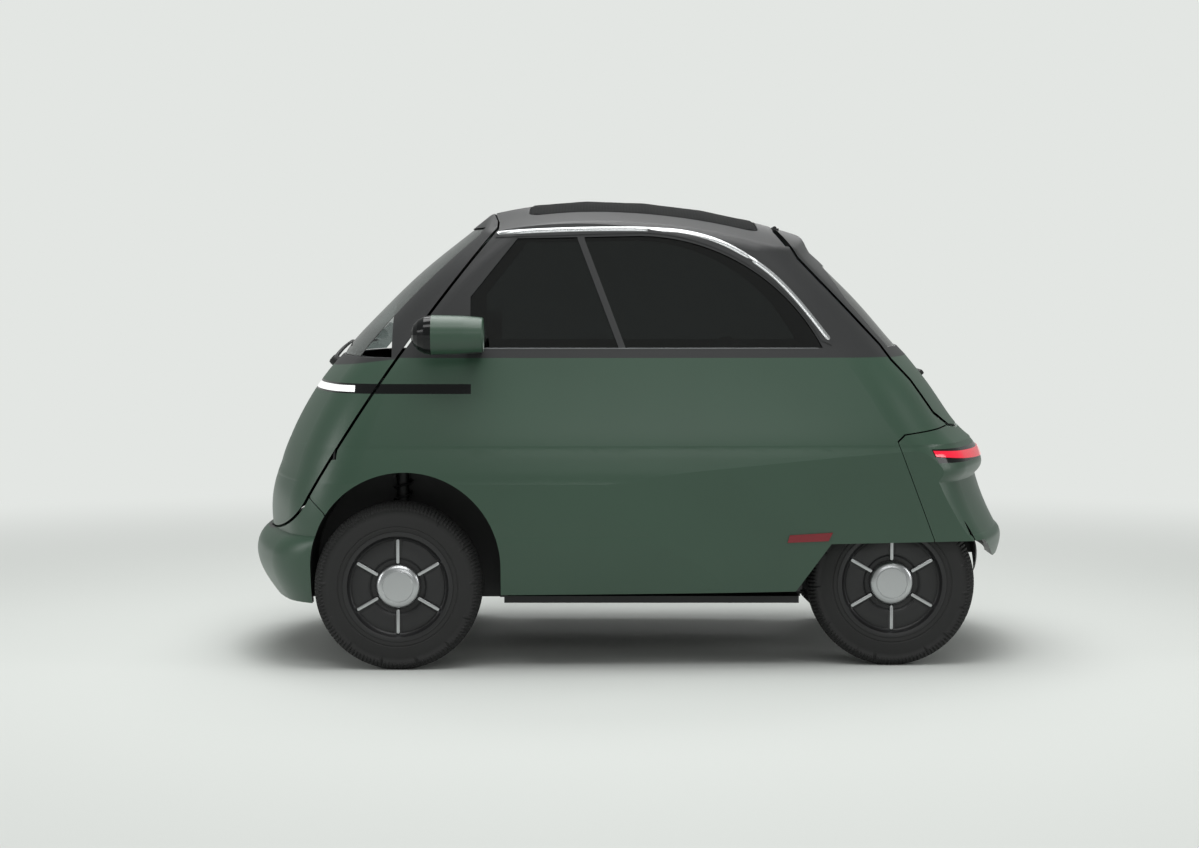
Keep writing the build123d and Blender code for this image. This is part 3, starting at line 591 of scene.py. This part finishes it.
roofShape = {
    "x": (-0.4185, 0.3285), "y": (-0.3985, 0.3985), "corner": 0.058,
    "apex": (0.120, 1.501), "frontRadius": 1.450, "rearRadius": 2.180, "crossRadius": 1.900,
    "proud": 0.0026, "thick": 0.012, "bows": (-0.24, -0.05, 0.14), "sag": 0.0022,
    "seamPlace": 0.375, "seamWidth": 0.0045, "seamDepth": 0.0022,
    "rollWidth": 0.009, "rollDepth": 0.004, "wrinkle": 0.0005,
    "hem": (0.012, 0.018),          # cloth beyond the plan size, for the crown and the rolled edges
}


def roofHeight(x, y):
    apexX, top = roofShape["apex"]
    radius = roofShape["frontRadius"] if x > apexX else roofShape["rearRadius"]
    crest = top - radius + math.sqrt(radius ** 2 - (x - apexX) ** 2)
    centre = top - roofShape["crossRadius"]
    return centre + math.sqrt((crest - centre) ** 2 - y ** 2)


def makeFoldingRoof():
    (x0, x1), (y0, y1) = roofShape["x"], roofShape["y"]
    form = bmesh.new()
    bmesh.ops.create_grid(form, x_segments=75, y_segments=80, size=0.5)
    bmesh.ops.scale(form, vec=(x1 - x0, y1 - y0, 1), verts=form.verts)
    bmesh.ops.translate(form, vec=((x0 + x1) / 2, (y0 + y1) / 2, 0), verts=form.verts)
    cx, cy, c = (x1 - x0) / 2, (y1 - y0) / 2, roofShape["corner"]
    for vert in form.verts:
        dx, dy = vert.co.x - (x0 + x1) / 2, vert.co.y
        ax, ay = abs(dx) - (cx - c), abs(dy) - (cy - c)
        if ax > 0 and ay > 0:
            # square corner drawn in to a round one
            squeeze = max(ax, ay) / math.hypot(ax, ay)
            dx = math.copysign(cx - c + ax * squeeze, dx)
            dy = math.copysign(cy - c + ay * squeeze, dy)
            vert.co.x, vert.co.y = dx + (x0 + x1) / 2, dy
        edge = min(cx - abs(dx), cy - abs(dy))
        nearBow = min(abs(vert.co.x - b) for b in roofShape["bows"] + (x0, x1))
        slack = roofShape["sag"] * min(1.0, nearBow / 0.06) * min(1.0, edge / 0.05)
        wave = math.sin(vert.co.y * 95 + 9 * vert.co.x)
        wrinkle = roofShape["wrinkle"] * wave * min(1.0, edge / 0.04)
        offSeam = (abs(vert.co.y) - roofShape["seamPlace"]) / roofShape["seamWidth"]
        seam = roofShape["seamDepth"] * math.exp(-offSeam ** 2)
        roll = roofShape["rollDepth"] * max(0.0, 1 - edge / roofShape["rollWidth"]) ** 2
        vert.co.z = (roofHeight(vert.co.x, vert.co.y) + roofShape["proud"] - slack - seam - roll
                     - abs(wrinkle))
    under = bmesh.ops.extrude_face_region(form, geom=form.faces[:], use_keep_orig=True)["geom"]
    bmesh.ops.translate(form, vec=(0, 0, -roofShape["thick"]), verts=vertsIn(under))
    bmesh.ops.recalc_face_normals(form, faces=form.faces)
    item = toObject(form, "roofCover", roofCloth, "body", ["folding_roof"])
    print("folding roof made")


makeFoldingRoof()


# bench: padded cushion and back

bench = {
    "voxel": 0.012, "pressure": 4.0, "frames": 20, "cushionCap": 0.010, "backCap": 0.010,
    "cushion": ((-0.098, -0.552, 0.412), (0.372, 0.552, 0.532)), "noseDrop": 0.012,
    "roundFrom": 0.47,              # edges above this height are rounded
    "cushionRound": 0.034, "cushionRoom": ((-0.101, -0.559, 0.409), (0.379, 0.559, 0.542)),
    # side outline of the back, x and z
    "back": [(-0.114, 0.412), (-0.224, 0.412), (-0.404, 1.020), (-0.372, 1.048),
             (-0.322, 1.026), (-0.118, 0.560)],
    "backRound": 0.020, "backRoom": ((-0.412, -0.559, 0.409), (0.0, 0.559, 1.058)),
    "backFoot": (0.545, -0.1055),   # below this height the back stays behind this x
    "channels": (-0.40, -0.20, 0.0, 0.20, 0.40), "channelWidth": 0.009, "channelDepth": 0.009,
}


def inflate(item, cap):
    # evened out, then blown up as cloth, no point further than cap from its start
    scene = bpy.context.scene
    even = item.modifiers.new("even", "REMESH")
    even.mode, even.voxel_size = "VOXEL", bench["voxel"]
    graph = bpy.context.evaluated_depsgraph_get()
    mesh = bpy.data.meshes.new_from_object(item.evaluated_get(graph))
    item.modifiers.clear()
    item.data = mesh
    start = [v.co.copy() for v in mesh.vertices]
    cloth = item.modifiers.new("cloth", "CLOTH")
    cloth.settings.use_pressure = True
    cloth.settings.uniform_pressure_force = bench["pressure"]
    cloth.settings.effector_weights.gravity = 0.0
    for step in range(1, bench["frames"] + 1):
        scene.frame_set(step)
    graph = bpy.context.evaluated_depsgraph_get()
    blown = bpy.data.meshes.new_from_object(item.evaluated_get(graph))
    item.modifiers.clear()
    item.data = blown
    for vert, origin in zip(blown.vertices, start):
        move = vert.co - origin
        if move.length > cap:
            vert.co = origin + move * (cap / move.length)
    scene.frame_set(1)


def sewChannels(item, upward):
    # stitched channels pressed into the faces that a person touches
    mesh = item.data
    normals = [v.normal.copy() for v in mesh.vertices]
    for vert, normal in zip(mesh.vertices, normals):
        facing = max(0.0, normal.dot(upward))
        for place in bench["channels"]:
            near = math.exp(-((vert.co.y - place) / bench["channelWidth"]) ** 2)
            vert.co -= normal * bench["channelDepth"] * near * min(1.0, facing * 1.6)


def finishPad(item, name, node, upward):
    sewChannels(item, upward)
    fine = item.modifiers.new("fine", "SUBSURF")
    fine.levels = fine.render_levels = 1
    item.data.materials.clear()
    item.data.materials.append(seatCloth)
    item.data.polygons.foreach_set("use_smooth", [True] * len(item.data.polygons))
    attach(item, "body")
    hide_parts(node)


def keepInside(item, low, high):
    for vert in item.data.vertices:
        for axis in range(3):
            vert.co[axis] = min(max(vert.co[axis], low[axis]), high[axis])


def makeBench():
    low, high = bench["cushion"]
    form = bmesh.new()
    bmesh.ops.create_cube(form, size=1.0)
    bmesh.ops.scale(form, vec=[b - a for a, b in zip(low, high)], verts=form.verts)
    bmesh.ops.translate(form, vec=[(a + b) / 2 for a, b in zip(low, high)], verts=form.verts)
    for vert in form.verts:
        if vert.co.x > 0 and vert.co.z > bench["roundFrom"]:
            vert.co.z -= bench["noseDrop"]
    bevelEdges(form, [e for e in form.edges if max(v.co.z for v in e.verts) > bench["roundFrom"]],
               bench["cushionRound"], 4)
    cushion = looseObject(form, "benchCushion")
    inflate(cushion, bench["cushionCap"])
    keepInside(cushion, *bench["cushionRoom"])
    finishPad(cushion, "benchCushion", "seat_cushion", Vector((0.25, 0, 1)).normalized())

    form = bmesh.new()
    face = form.faces.new([form.verts.new((x, low[1], z)) for x, z in bench["back"]])
    grown = bmesh.ops.extrude_face_region(form, geom=[face], use_keep_orig=True)["geom"]
    bmesh.ops.translate(form, vec=(0, high[1] - low[1], 0), verts=vertsIn(grown))
    bmesh.ops.recalc_face_normals(form, faces=form.faces)
    bevelEdges(form, [e for e in form.edges if min(v.co.z for v in e.verts) > bench["roundFrom"]],
               bench["backRound"], 4)
    back = looseObject(form, "benchBack")
    inflate(back, bench["backCap"])
    keepInside(back, *bench["backRoom"])
    footTop, footFront = bench["backFoot"]
    for vert in back.data.vertices:
        if vert.co.z < footTop:
            vert.co.x = min(vert.co.x, footFront)
    finishPad(back, "benchBack", "seat_back", Vector((1, 0, 0.25)).normalized())
    print("bench made")


makeBench()


# springs over the front struts

spring = {"x": 0.738, "y": 0.458, "low": 0.415, "high": 0.600, "turns": 5, "radius": 0.0275,
          "wire": 0.0042, "stepsPerTurn": 28}


def makeSprings():
    form = bmesh.new()
    for side in (1, -1):
        ring = bmesh.ops.create_circle(form, segments=8, radius=spring["wire"])["verts"]
        bmesh.ops.rotate(form, cent=(0, 0, 0), matrix=Matrix.Rotation(math.pi / 2, 3, "X"), verts=ring)
        bmesh.ops.translate(form, vec=(spring["x"] + spring["radius"], side * spring["y"], spring["low"]),
                            verts=ring)
        edges = list({e for v in ring for e in v.link_edges})
        steps = spring["stepsPerTurn"] * spring["turns"]
        bmesh.ops.contextual_create(form, geom=edges)
        bmesh.ops.spin(form, geom=ring + edges, cent=(spring["x"], side * spring["y"], 0), axis=(0, 0, 1),
                       dvec=(0, 0, (spring["high"] - spring["low"]) / steps),
                       angle=2 * math.pi * spring["turns"], steps=steps)
    bmesh.ops.holes_fill(form, edges=form.edges, sides=8)
    bmesh.ops.remove_doubles(form, verts=form.verts, dist=1e-6)
    bmesh.ops.recalc_face_normals(form, faces=form.faces)
    toObject(form, "strutSprings", coatedSteel, "body")
    print("springs made")


makeSprings()


# tail lens: a raised red strip inside the black band, falling slightly towards the middle

tailLens = {"lowSide": 0.6745, "highSide": 0.6935, "lowMiddle": 0.6565, "highMiddle": 0.6850,
            "sideX": -0.985, "rearX": -1.165, "frontX": -0.968, "frontSlope": -0.5,
            "proud": 0.0022,    # how far it stands out at the reach from the car's middle
            "reach": 0.9}


def cutAway(form, place, normal):
    # takes off what lies beyond the plane and closes the cut
    cut = bmesh.ops.bisect_plane(form, geom=form.verts[:] + form.edges[:] + form.faces[:],
                                 plane_co=place, plane_no=normal, clear_outer=True)["geom_cut"]
    bmesh.ops.holes_fill(form, edges=edgesIn(cut), sides=0)


def makeTailLens():
    source = nodes["tail_lamp_band"]
    form = bmesh.new()
    form.from_mesh(source.data)
    form.transform(source.matrix_world)
    bmesh.ops.remove_doubles(form, verts=form.verts, dist=2e-5)
    run = tailLens["sideX"] - tailLens["rearX"]
    for name, sign in (("low", -1), ("high", 1)):
        atSide, atRear = tailLens[name + "Side"], tailLens[name + "Middle"]
        slope = (atSide - atRear) / run
        cutAway(form, (tailLens["sideX"], 0, atSide), Vector((-slope, 0, 1)).normalized() * sign)
    cutAway(form, (tailLens["frontX"], 0, tailLens["lowSide"]), (1, 0, tailLens["frontSlope"]))
    grow = 1 + tailLens["proud"] / tailLens["reach"]
    bmesh.ops.scale(form, vec=(grow, grow, 1), verts=form.verts)
    bmesh.ops.recalc_face_normals(form, faces=form.faces)
    toObject(form, "tailLens", redLens, "body")
    print("tail lens made")


makeTailLens()


# wiper at the foot of the screen

wiper = {"low": 1.020, "from": -0.40, "to": 0.16, "lift": 0.008, "bladeRadius": 0.0045,
         "bladeSteps": 14, "pivot": (0.0, 0.958), "armRadius": 0.0065, "armSteps": 8,
         "armLift": 0.012, "armArch": 0.006, "armTaper": 0.06, "pivotRadius": 0.019}


def tubeAlong(form, points, radii, segments=10):
    # round bar through points, bridged ring by ring
    rings = []
    for k, point in enumerate(points):
        ahead = Vector(points[min(k + 1, len(points) - 1)]) - Vector(points[max(k - 1, 0)])
        made = bmesh.ops.create_circle(form, segments=segments, radius=radii[k])["verts"]
        turn = ahead.to_track_quat("Z", "Y").to_matrix()
        bmesh.ops.rotate(form, cent=(0, 0, 0), matrix=turn, verts=made)
        bmesh.ops.translate(form, vec=point, verts=made)
        rings.append(list({e for v in made for e in v.link_edges}))
    for first, second in zip(rings, rings[1:]):
        bmesh.ops.bridge_loops(form, edges=first + second)
    for ring in (rings[0], rings[-1]):
        bmesh.ops.contextual_create(form, geom=ring)


def makeWiper():
    tree = skinReader("windscreen", "door_frame", "door_panel")
    form = bmesh.new()
    blade = []
    for k in range(wiper["bladeSteps"] + 1):
        y = wiper["from"] + (wiper["to"] - wiper["from"]) * k / wiper["bladeSteps"]
        hit, normal = skinPoint(tree, (2.0, y, wiper["low"]), (-1, 0, 0))
        blade.append(hit + normal * wiper["lift"])
    radii = [wiper["bladeRadius"]] * len(blade)
    radii[0] = radii[-1] = wiper["bladeRadius"] * 0.5
    tubeAlong(form, blade, radii)
    y, z = wiper["pivot"]
    foot, normal = skinPoint(tree, (2.0, y, z), (-1, 0, 0))
    joint = blade[6]
    arm = [foot + normal * 0.010]
    for k in range(1, wiper["armSteps"]):
        t = k / wiper["armSteps"]
        lift = wiper["armLift"] + wiper["armArch"] * math.sin(math.pi * t)
        arm.append(foot.lerp(joint, t) + normal * lift)
    arm.append(joint)
    tubeAlong(form, arm, [wiper["armRadius"] * (1.15 - wiper["armTaper"] * k)
                          for k in range(len(arm))])
    tubeAlong(form, [foot - normal * 0.004, foot + normal * 0.012, foot + normal * 0.020,
                     foot + normal * 0.0225],
              [wiper["pivotRadius"], wiper["pivotRadius"], wiper["pivotRadius"] * 0.9, 0.010], 24)
    bmesh.ops.recalc_face_normals(form, faces=form.faces)
    toObject(form, "screenWiper", grainedPlastic, "front_door")
    print("wiper made")


makeWiper()


# grip on the tailgate

grip = {"z": 0.922, "width": 0.15, "height": 0.018, "depth": 0.012, "rooted": 0.006, "round": 0.005}


def makeGrip():
    tree = skinReader("tailgate_panel")
    hit, normal = skinPoint(tree, (-2.0, 0.0, grip["z"]), (1, 0, 0))
    form = bmesh.new()
    made = bmesh.ops.create_cube(form, size=1.0)["verts"]
    bmesh.ops.scale(form, vec=(grip["depth"] + grip["rooted"], grip["width"], grip["height"]), verts=made)
    bevelEdges(form, form.edges[:], grip["round"], 4)
    lean = math.atan2(normal.z, -normal.x)
    bmesh.ops.rotate(form, cent=(0, 0, 0), matrix=Matrix.Rotation(lean, 3, "Y"), verts=form.verts)
    bmesh.ops.translate(form, vec=hit + normal * (grip["depth"] / 2 - 0.004), verts=form.verts)
    toObject(form, "tailgateGrip", grainedPlastic, "tailgate")
    print("grip made")


makeGrip()


# bright strip over the side windows, thin seal line at their foot

strip = {
    # middle line from front to rear, x and z
    "upper": [(0.427, 1.387), (0.300, 1.394), (0.150, 1.399), (0.000, 1.400), (-0.082, 1.398),
              (-0.158, 1.393), (-0.233, 1.377), (-0.310, 1.348), (-0.386, 1.304),
              (-0.462, 1.246), (-0.539, 1.165), (-0.632, 1.048)],
    "upperWidth": 0.0145,
    "upperProud": 0.0012,
    "belt": [(0.470, 1.020), (0.100, 1.020), (-0.250, 1.020), (-0.600, 1.020)],
    "beltWidth": 0.0034,
    "beltProud": 0.0008,
    "step": 0.012,
    "near": 3,                      # places on each side that a height is evened out with
    "jump": 0.006,                  # a place further off than this falls back to its neighbours
    "endShare": 0.55,
    "sunk": 0.0015,
}


def throughPoints(points, step):
    # even smooth row of (x, z) places through the given ones
    row = [points[0]] + list(points) + [points[-1]]
    found = []
    for a, b, c, d in zip(row, row[1:], row[2:], row[3:]):
        a, b, c, d = Vector(a), Vector(b), Vector(c), Vector(d)
        count = max(2, round((c - b).length / step))
        for k in range(count):
            t = k / count
            found.append(0.5 * (2 * b + (c - a) * t + (2 * a - 5 * b + 4 * c - d) * t ** 2
                                + (3 * b - a - 3 * c + d) * t ** 3))
    found.append(Vector(points[-1]))
    return found


def ribbonAlong(form, tree, side, path, width, proud):
    # flat bar with eased edges that lies on the skin along a side view path
    hits = [skinPoint(tree, (at.x, side * 2.0, at.y), (0, -side, 0)) for at in path]
    places, normals = [], []
    for k in range(len(path)):
        near = [h for h in hits[max(k - strip["near"], 0):k + strip["near"] + 1] if h[0] is not None]
        ys = sorted(h[0].y * side for h in near)
        y = ys[len(ys) // 2]
        here = hits[k][0].y * side if hits[k][0] is not None else y
        if abs(here - y) >= strip["jump"]:
            here = y
        places.append(Vector((path[k].x, side * here, path[k].y)))
        normals.append(sum((h[1] for h in near), Vector()).normalized())
    rings = []
    for k, place in enumerate(places):
        ahead = (places[min(k + 1, len(places) - 1)] - places[max(k - 1, 0)]).normalized()
        across = normals[k].cross(ahead).normalized()
        half = width / 2 * (strip["endShare"] if k in (0, len(places) - 1) else 1)
        soft = min(0.0015, half * 0.4)
        outline = [(-half, -strip["sunk"]), (-half, proud * 0.3), (-half + soft, proud),
                   (half - soft, proud), (half, proud * 0.3), (half, -strip["sunk"])]
        verts = [form.verts.new(place + across * a + normals[k] * b) for a, b in outline]
        rings.append([form.edges.new(pair) for pair in zip(verts, verts[1:] + verts[:1])])
    for first, second in zip(rings, rings[1:]):
        bmesh.ops.bridge_loops(form, edges=first + second)
    for ring in (rings[0], rings[-1]):
        bmesh.ops.contextual_create(form, geom=ring)


def makeStrips():
    tree = skinReader(*[n for n in nodes if n.startswith(
        ("cabin_frame", "roof_panel", "window_trims", "side_window", "side_panel"))])
    for name, title, metal in (("upper", "brightTrim", brightStrip),
                               ("belt", "beltSeal", dullStrip)):
        form = bmesh.new()
        path = throughPoints(strip[name], strip["step"])
        for side in (1, -1):
            ribbonAlong(form, tree, side, path, strip[name + "Width"], strip[name + "Proud"])
        bmesh.ops.recalc_face_normals(form, faces=form.faces)
        toObject(form, title, metal, "body")
    print("strips made")


makeStrips()
